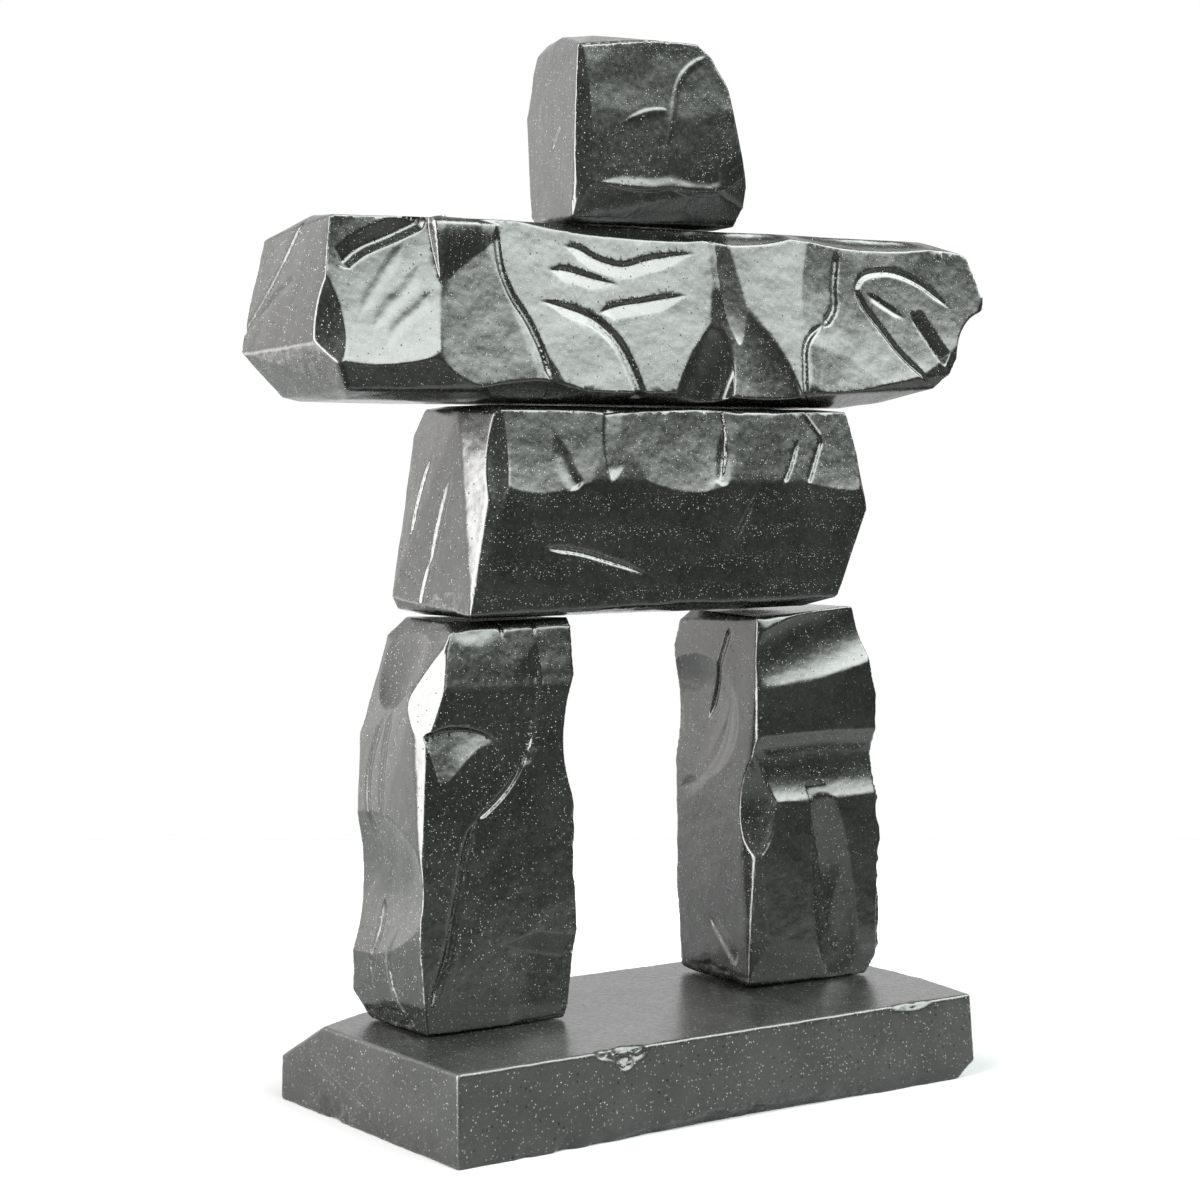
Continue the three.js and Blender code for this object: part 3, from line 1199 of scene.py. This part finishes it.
TORSO = Stone(
    node="torso",
    size=(142, 44, 59),
    seat=Seat((1, 7, 138.6)),
    triangles=150_000,
    seed=9,
    corners=(
        (-40.5, 43, 98.5), (-42.5, 47.5, 85.5), (-47.5, 47.5, 9), (-46.5, 45.5, 3),
        (-42.5, -9, 97.5), (-40.5, -34, 76.5), (-45, -25, 13), (-44.5, -27, 2.5),
        (-39, -40.5, 97), (-38, -46.5, 64), (-46.5, -42, 2),
        (48.5, -40.5, 98.5), (50, -46.5, 63), (54, -41, 49), (45.5, -42, 5),
        (46.5, 47.5, 98), (50.5, 50, 53), (41, 47.5, 1.5),
        (-38, -24, 100), (-38, 30, 100), (44, -24, 100), (44, 36, 100),
        (-42, -26, 0), (-42, 36, 0), (40, -26, 0), (38, 40, 0),
    ),
    chips=(
        Chip((-48, -20, 4), (8, 30, 8), depth=0.8, grain=3.0),
        Chip((8, -45, 1), (30, 12, 5), depth=1.0, grain=4.0),
    ),
    scoops=(
        # Four shallow scoops side by side under the top.
        Scoop((-24, -42, 88), (-3, 8), (64, 80), bite=1.3, turn=4),
        Scoop((-5, -42, 90), (4, 8), (74, 68), bite=0.9, turn=-8),
        Scoop((13, -42, 88), (-5, 8), (40, 74), bite=1.2),
        Scoop((35, -42, 90), (3, 8), (90, 70), bite=0.9),
        # The dark facet by the left edge.
        Scoop((-39, -42, 86), (-36, 4), (30, 50), bite=3, turn=0, bowl=8),
    ),
    strokes=(
        # Ridges and flutes between the scoops.
        Stroke(
            Side.FRONT, ((-13.8, 100), (-14.8, 83.5), (-14, 62)),
            depth=0.9, left=5.0, right=1.2, start=0.0, end=0.2,
        ),
        Stroke(
            Side.FRONT, ((-27, 90), (-24.5, 71.5), (-22, 60)),
            depth=0.6, left=3.0, right=4.0, start=0.4, end=0.1, soft=True,
        ),
        Stroke(
            Side.FRONT, ((15, 92), (14.5, 74), (13.5, 61)),
            depth=0.5, left=2.5, right=3.0, start=0.5, end=0.1, soft=True,
        ),
        # The forked lines at the right, and how they run on below.
        Stroke(
            Side.FRONT, ((34.5, 86), (32.5, 75.5), (29.5, 62.5)),
            depth=0.8, left=1.0, right=0.9, start=0.3, end=0.1,
        ),
        Stroke(
            Side.FRONT, ((36, 99.5), (38.5, 92.5), (41, 85.5)),
            depth=-0.3, left=0.9, right=0.9, start=0.2, end=0.1, soft=True,
        ),
        Stroke(
            Side.FRONT, ((41, 85.5), (38.5, 73.5), (36, 62.5)),
            depth=0.8, left=1.0, right=0.9, start=0.1, end=0.1,
        ),
        Stroke(
            Side.FRONT, ((36, 62.5), (37, 54.5), (38, 48)),
            depth=0.4, left=0.7, right=0.7, start=0.1, end=0.4,
        ),
        Stroke(
            Side.FRONT, ((30, 61.5), (30, 48.5), (29.5, 34.5)),
            depth=-0.2, left=0.8, right=0.8, start=0.1, end=0.5,
        ),
        # The hooked line at the lower left.
        Stroke(
            Side.FRONT, ((-32, 60.5), (-32.5, 48.5), (-31.5, 34.5)),
            depth=0.4, left=0.6, right=1.5, start=0.4, end=0.3,
        ),
        Stroke(
            Side.FRONT, ((-31, 33.5), (-22, 31), (-13.5, 26), (-7, 21), (-2, 16)),
            depth=1.0, left=1.1, right=1.1, start=0.15, end=0.5,
        ),
        # A soft line down the lower right.
        Stroke(
            Side.FRONT, ((23, 60.5), (19.5, 44.5), (14, 22.5)),
            depth=0.35, left=1.6, right=1.6, start=0.3, end=0.5, soft=True,
        ),
        # Long cuts down the left end.
        Stroke(
            Side.LEFT, ((16, 79), (24.5, 65.5), (29.5, 50.5), (33.5, 31)),
            depth=0.9, left=1.4, right=0.6,
        ),
        Stroke(
            Side.LEFT, ((-8, 69.5), (0.5, 46), (6.5, 20)),
            depth=0.5, left=2.0, right=2.0, soft=True,
        ),
        Stroke(
            Side.LEFT, ((4.5, 31.5), (10.5, 17.5), (14, 5)),
            depth=0.5, left=1.5, right=1.0, start=0.4, end=0.1,
        ),
    ),
)

ARMS = Stone(
    node="arms",
    size=(ARMS_LENGTH, 46, ARMS_HEIGHT),
    seat=Seat((6, 7, 197.9)),
    triangles=190_000,
    seed=11,
    corners=(
        arms_top(-45.5, -2), arms_top(-42, 40), arms_top(40, 40),
        arms_top(-18, -33), arms_top(-8, -15), arms_top(19, -15), arms_top(43, -12),
        (-14, -35, 91), (19, -35, 90), (44, -33, 91),
        (-46.5, -35, 95), (-47, 43.5, 86), (-48.5, 48, 51),
        (-49.5, 48, 26), (-45.5, 38, 2.5), (-44, 30, 0),
        (-46.5, -41, 73), (-46.8, -46, 55), (-48.4, -50, 31), (-45.5, -41, 5),
        (-44, -28, 0), (49, -30, 94), (51, -30, 70), (51, -30, 62), (44.5, -35, 22), (42, -33, 13),
        (34.5, -24, 4), (-19, -50, 10), (17, -50, 6),
        (41, 48, 88), (45.5, 41, 51), (37, 46, 10), (27, -26, 0), (30, 38, 0),
    ),
    scoops=(
        # Five wide scoops from left to right.
        Scoop((-38.5, -42, 60), (-6, 12), (84, 130), bite=5, turn=-20, bowl=3),
        Scoop((-26, -42, 60), (-2, 8), (70, 220), bite=4.5, turn=4, bowl=3),
        Scoop((-8, -42, 52), (-2, 12), (150, 300), bite=5, turn=8, bowl=3),
        Scoop((17, -42, 62), (-3, 12), (104, 240), bite=6, turn=0, bowl=3),
        Scoop((35, -39, 48), (0, 11), (130, 190), bite=5, turn=-12, bowl=3),
        # The two dark triangles, and the dark band over them.
        Scoop((3.2, -46, 24), (22, -14), (40, 122), bite=6, turn=-16, bowl=2),
        Scoop((10.5, -45, 22), (4, 8), (48, 112), bite=5, turn=20, bowl=2),
        Scoop((10.5, -34.5, 90), (-26, 2), (26, 66), bite=0.8, turn=0, bowl=5),
        # The upper right end, and the dark edge at the left end.
        Scoop((34, -29, 78), (2, 7), (106, 84), bite=1.6, turn=-14, bowl=6),
        Scoop((-46, -45, 50), (-38, -4), (80, 46), bite=5, turn=0, bowl=8),
        # The chamfer below, and the bite in the right end.
        Scoop((-22, -45, 2), (0, -50), (86, 40), bite=7),
        Scoop((48, -30, 42), (70, -25), (60, 38), bite=6.5),
        # Three scallops along the top edge.
        Scoop((-4, -24, 97.5), (0, 50), (130, 16), bite=3),
        Scoop((10, -24, 98.5), (0, 50), (70, 20), bite=3.4),
        Scoop((32, -20, 100), (0, 50), (100, 18), bite=3),
    ),
    strokes=(
        # The long groove left of the middle, which widens at its foot.
        Stroke(
            Side.FRONT,
            (
                (-24.5, 98), (-24.5, 74.5), (-23.5, 59), (-21.5, 44.5), (-20, 28.5), (-19, 8),
            ),
            depth=1.0, left=1.1, right=1.8, start=0.1, end=0.1,
        ),
        Stroke(
            Side.FRONT, ((-20.6, 36), (-19.6, 20), (-18.6, 3)),
            depth=1.4, left=4.0, right=0.8, start=0.9, end=0.02,
        ),
        # The band across the upper left corner.
        Stroke(
            Side.FRONT, ((-45.5, 68), (-42.6, 78), (-38.6, 86), (-34, 96)),
            depth=1.7, left=4.6, right=2.2, start=0.1, end=0.1,
        ),
        # The raised edge between the first two scoops.
        Stroke(
            Side.FRONT, ((-33.2, 54), (-33.6, 78), (-33.8, 100)),
            depth=-2.8, left=0.9, right=24.0, start=0.85, end=0.16,
        ),
        # Four curved cuts across the middle.
        Stroke(
            Side.FRONT,
            (
                (-15.5, 86.5), (-13, 85), (-10.5, 79.5), (-7, 76.5), (-3.5, 80.5), (0.5, 84),
                (4, 86),
            ),
            depth=0.75, left=1.4, right=3.6, start=0.2, end=0.3,
        ),
        Stroke(
            Side.FRONT, ((-18, 72.5), (-15, 72.5), (-11.5, 69), (-7.5, 65.5)),
            depth=0.75, left=1.4, right=3.4, start=0.3, end=0.4,
        ),
        Stroke(
            Side.FRONT,
            (
                (-20, 55.5), (-16.5, 53), (-12.2, 47), (-9.2, 36), (-7.6, 22.5), (-6.2, 2),
            ),
            depth=1.2, left=1.5, right=3.0, start=0.3, end=0.02,
        ),
        Stroke(
            Side.FRONT, ((-11.5, 49.5), (-8.5, 54), (-4.5, 57), (-1, 60), (2, 62)),
            depth=0.75, left=1.4, right=3.4, start=0.2, end=0.4,
        ),
        # The upper half of the stepped line right of the triangles.
        Stroke(
            Side.FRONT, ((26.4, 93), (25.4, 71.5), (25, 58), (22.5, 46)),
            depth=1.4, left=1.6, right=1.6, start=0.1, end=0.15,
        ),
        # The notch in the leaf-shaped outline.
        Stroke(
            Side.FRONT, ((38.2, 59), (40.5, 44.5), (43.5, 26)),
            depth=1.8, left=4.6, right=1.0, start=0.2, end=0.1,
        ),
        # The lower half of the stepped line.
        Stroke(
            Side.FRONT, ((23, 50), (19.4, 38), (18.4, 20), (18, 2)),
            depth=1.0, left=1.2, right=1.1, start=0.2, end=0.02,
        ),
        # The leaf-shaped outline at the right end, and its inner vein.
        Stroke(
            Side.FRONT, ((28.6, 66), (30.5, 78), (34, 82), (37.5, 80.5), (41.5, 73.5), (45.8, 60)),
            depth=0.8, left=1.2, right=1.4, start=0.15, end=0.15,
        ),
        Stroke(
            Side.FRONT, ((29, 72), (30.5, 59.5), (33, 47), (36, 32), (40.5, 15.5)),
            depth=0.9, left=1.5, right=1.0, start=0.1, end=0.1,
        ),
        Stroke(
            Side.FRONT, ((31, 68.5), (34, 61.5), (37.5, 53.5)),
            depth=0.4, left=1.6, right=1.6, start=0.2, end=0.3, soft=True,
        ),
        # Soft ripples in the first scoop.
        Stroke(
            Side.FRONT, ((-42.5, 33.5), (-40, 47.5), (-37, 60), (-35.5, 72.5)),
            depth=0.2, left=2.6, right=2.6, soft=True,
        ),
        Stroke(
            Side.FRONT, ((-41, 26), (-39, 38), (-36, 49), (-34.5, 58.5)),
            depth=0.2, left=2.4, right=2.4, soft=True,
        ),
        Stroke(
            Side.FRONT, ((-44, 41), (-41.5, 56.5), (-39, 71.5), (-37, 83.5)),
            depth=0.16, left=2.4, right=2.4, soft=True,
        ),
        # Two lines across the left end.
        Stroke(
            Side.LEFT, ((-1.5, 94), (10, 76), (27, 56), (52, 31.5)),
            depth=0.5, left=0.8, right=1.6, start=0.05, end=0.1, soft=True,
        ),
        Stroke(
            Side.LEFT, ((-3, 64.5), (10.5, 58.5), (26.5, 49.5), (41.5, 38.5)),
            depth=0.5, left=2.0, right=1.2, start=0.1, end=0.5,
        ),
    ),
)

HEAD = Stone(
    node="head",
    size=(64, 42, 53.5),
    seat=Seat((1, 8, 249.12917), -ARMS_SLOPE),
    triangles=100_000,
    voxel=0.36,
    seed=13,
    corners=(
        (-34, 0, 99.5), (-28.5, -24, 98.5), (-26.5, 33, 100), (-27.5, 45, 94),
        (-29, 47.5, 84), (-32.5, 47.5, 60), (-31, 47.5, 32), (-33, 43, 6.5),
        (-44.5, -43, 91), (-2, -43.6, 96.5), (21, -43.2, 96.5),
        (28, -44, 91), (37, -45, 75), (44.5, -44, 40), (53, -33, 23), (52, -31, 11.5),
        (51, -21.5, 2), (-42, -45, 55), (-39, -45.5, 19), (-11, -45.5, 18),
        (30, -43.5, 19.5), (-46, -36, 2), (25, 45, 88), (47, 45, 35), (44, 43, 1),
        (-40, -26, 0), (-30, 38, 0), (44, -12, 0),
    ),
    scoops=(
        # The hollow of the face, and the narrow chamfer at its left.
        Scoop((-4, -46, 62), (0, 3), (420, 74), bite=1, turn=0, bowl=2.2),
        Scoop((-41.6, -44.8, 48), (-36, 0), (60, 110), bite=1.9, turn=0, bowl=8),
    ),
    strokes=(
        # The ledge under the face.
        Stroke(
            Side.FRONT,
            (
                (-40, 20.5), (-24, 18.5), (-8, 18), (4, 19.5), (16, 17.5), (32, 18.5), (46, 27),
            ),
            depth=-0.5, left=3.6, right=1.0, start=0.2, end=0.0, soft=True,
        ),
        # The soft oval on the left side.
        Stroke(
            Side.LEFT, ((8, 82), (12, 60), (4, 36)),
            depth=0.4, left=4.5, right=4.5, start=0.5, end=0.5, soft=True,
        ),
        # The two curved lips on the face.
        Stroke(
            Side.FRONT, ((26, 91), (15, 84), (8.5, 75), (5, 61), (3, 47.5), (1, 35.5)),
            depth=-0.2, left=2.0, right=1.0, start=0.1, end=0.3, soft=True,
        ),
        Stroke(
            Side.FRONT, ((2.5, 60), (-7, 59), (-17, 55), (-28, 48.5)),
            depth=-0.16, left=2.0, right=1.0, start=0.1, end=0.5, soft=True,
        ),
        # A short cut on the left side.
        Stroke(
            Side.LEFT, ((-15.5, 51.5), (-6, 44.5), (3.5, 36)),
            depth=0.8, left=0.8, right=1.4, start=0.2, end=0.4,
        ),
    ),
)

POLISHED = Finish(
    name="polished_stone",
    dark=(0.0025, 0.003, 0.0025),
    light=(0.006, 0.007, 0.006),
    fleck=(0.16, 0.165, 0.155),
    fleck_amount=0.55,
    fleck_scale=2000.0,
    gloss=(0.20, 0.28),
    specular=1.56,
    texture=0.03,
    texture_scale=800.0,
    texture_roughness=0.55,
    waves=0.3,
    # How far the sharp arrises are lightened as a painted highlight.
    painted_edge_highlight=0.10,
)

SAWN = Finish(
    name="sawn_stone",
    dark=(0.006, 0.0065, 0.006),
    light=(0.011, 0.0115, 0.011),
    fleck=(0.16, 0.16, 0.15),
    fleck_amount=0.34,
    fleck_scale=1500.0,
    gloss=(0.24, 0.32),
    specular=1.5,
    texture=0.05,
    texture_scale=700.0,
    texture_roughness=0.6,
    waves=0.0,
    # How far the sharp arrises are lightened as a painted highlight.
    painted_edge_highlight=0.15,
)


@dataclass(frozen=True)
class Softbox:
    """A soft light on the studio's sky: its reach and its edges' blur in degrees."""

    azimuth: Pair
    elevation: Pair
    strength: float
    blur: float
    tint: Triple


@dataclass
class Studio:
    """The floor, the light and the camera.

    eye and target are in mm, the lens too, and the floor's reaches are in
    metres. front and behind are the sky's own light on either side of turn, in
    degrees from the front.
    """

    eye: Triple = (-443.69, -608.48, 180.16)
    target: Triple = (-13.82, 0.0, 142.42)
    lens: float = 78.336
    floor_reach: float = 0.5
    floor_before: float = 0.14
    floor_right: float = 0.28
    floor_colour: Triple = (0.30, 0.30, 0.305)
    seen: Triple = (1.0, 1.0, 1.0)
    front: float = 0.12
    behind: float = 1.2
    turn: Pair = (95.0, 130.0)
    boxes: tuple[Softbox, ...] = field(
        default_factory=lambda: (
            Softbox((-15, 85), (18, 60), 9.5, 6.0, (0.93, 1.0, 0.95)),
            Softbox((-10, 80), (27, 60), 6.0, 8.0, (0.95, 1.0, 0.97)),
            Softbox((-112, -62), (-15, 60), 21.0, 5.0, (1.0, 0.99, 0.97)),
            Softbox((-170, -112), (-9, 25), 1.5, 8.0, (1.0, 0.96, 0.93)),
            Softbox((-175, -100), (-70, -12), 6.5, 6.0, (1.0, 0.97, 0.94)),
            Softbox((-95, 95), (-30, -13), 1.0, 5.0, (0.98, 1.0, 0.96)),
        )
    )

    def lay_floor(self) -> None:
        """Lays the pale floor under the slab."""
        bpy.ops.object.select_all(action="DESELECT")
        bpy.ops.mesh.primitive_plane_add(size=1.0)
        floor = bpy.context.object
        floor.name = "floor"
        way = Vector((self.eye[0] - self.target[0], self.eye[1] - self.target[1])).normalized()
        across = Vector((-way.y, way.x))
        ahead = (self.floor_before - self.floor_reach) / 2
        aside = (self.floor_right - self.floor_reach) / 2
        middle = way * ahead + across * aside
        spin = Matrix.Rotation(math.atan2(way.y, way.x), 4, "Z")
        long, wide = self.floor_before + self.floor_reach, self.floor_right + self.floor_reach
        shape = Matrix.Diagonal((long, wide, 1.0, 1.0))
        floor.data.transform(Matrix.Translation((middle.x, middle.y, 0.0)) @ spin @ shape)
        material = bpy.data.materials.new("floor_paper")
        material.use_nodes = True
        board = Board(material.node_tree)
        shader = board.add("ShaderNodeBsdfDiffuse", {"Color": (*self.floor_colour, 1.0)})
        board.add("ShaderNodeOutputMaterial", {"Surface": shader.outputs[0]})
        floor.data.materials.append(material)

    def light(self) -> None:
        """Lights the scene from soft boxes on the sky round it."""
        world = bpy.data.worlds.new("studio")
        world.use_nodes = True
        bpy.context.scene.world = world
        board = Board(world.node_tree)
        way = board.add("ShaderNodeTexCoord").outputs["Generated"]
        axes = board.add("ShaderNodeSeparateXYZ", {"Vector": way}).outputs
        front = board.math("MULTIPLY", axes["Y"], -1.0)
        degree = 180.0 / math.pi
        azimuth = board.math("MULTIPLY", board.math("ARCTAN2", axes["X"], front), degree)
        height = board.math("MULTIPLY", board.math("ARCSINE", axes["Z"]), degree)
        turned_away = board.math("ABSOLUTE", azimuth)
        even = board.ramp(turned_away, *self.turn, self.front, self.behind)
        total = board.add("ShaderNodeCombineXYZ", {"X": even, "Y": even, "Z": even}).outputs[0]
        for box in self.boxes:
            blur = box.blur
            edges = (
                board.ramp(azimuth, box.azimuth[0] - blur, box.azimuth[0] + blur),
                board.ramp(azimuth, box.azimuth[1] + blur, box.azimuth[1] - blur),
                board.ramp(height, box.elevation[0] - blur, box.elevation[0] + blur),
                board.ramp(height, box.elevation[1] + blur, box.elevation[1] - blur),
            )
            mask = edges[0]
            for edge in edges[1:]:
                mask = board.math("MULTIPLY", mask, edge)
            glow = tuple(box.strength * part for part in box.tint)
            sockets = {0: board.tinted(mask, glow), 1: total}
            total = board.add("ShaderNodeVectorMath", sockets, operation="ADD").outputs[0]
        sky = board.add("ShaderNodeBackground", {"Color": total, "Strength": 1.0})
        paper = board.add("ShaderNodeBackground", {"Color": (*self.seen, 1.0), "Strength": 1.0})
        path = board.add("ShaderNodeLightPath").outputs["Is Camera Ray"]
        mix = board.add("ShaderNodeMixShader", {0: path, 1: sky.outputs[0], 2: paper.outputs[0]})
        board.add("ShaderNodeOutputWorld", {"Surface": mix.outputs[0]})

    def place_camera(self) -> None:
        """Places the camera where the photograph was taken from."""
        camera = bpy.data.cameras.new("camera")
        camera.lens = self.lens
        camera.sensor_width = 36.0
        camera.clip_start = 0.01
        holder = bpy.data.objects.new("camera", camera)
        bpy.context.scene.collection.objects.link(holder)
        eye, target = Vector(self.eye) * MM, Vector(self.target) * MM
        holder.location = eye
        holder.rotation_euler = (target - eye).to_track_quat("-Z", "Y").to_euler()
        bpy.context.scene.camera = holder
        bpy.context.scene.view_settings.view_transform = "Standard"

    def build(self) -> None:
        """Sets up the floor, the light and the camera."""
        self.lay_floor()
        self.light()
        self.place_camera()
        log.info("studio: floor, sky with %d soft boxes, camera", len(self.boxes))


def main() -> None:
    """Builds the figure and its studio."""
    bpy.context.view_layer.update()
    Studio().build()
    specks = specks_group()
    polished = POLISHED.make(specks)
    sawn = SAWN.make(specks)
    BASE.build(sawn)
    for stone in (LEFT_LEG, RIGHT_LEG, TORSO, ARMS, HEAD):
        stone.build(polished)


if __name__ == "__main__":
    main()
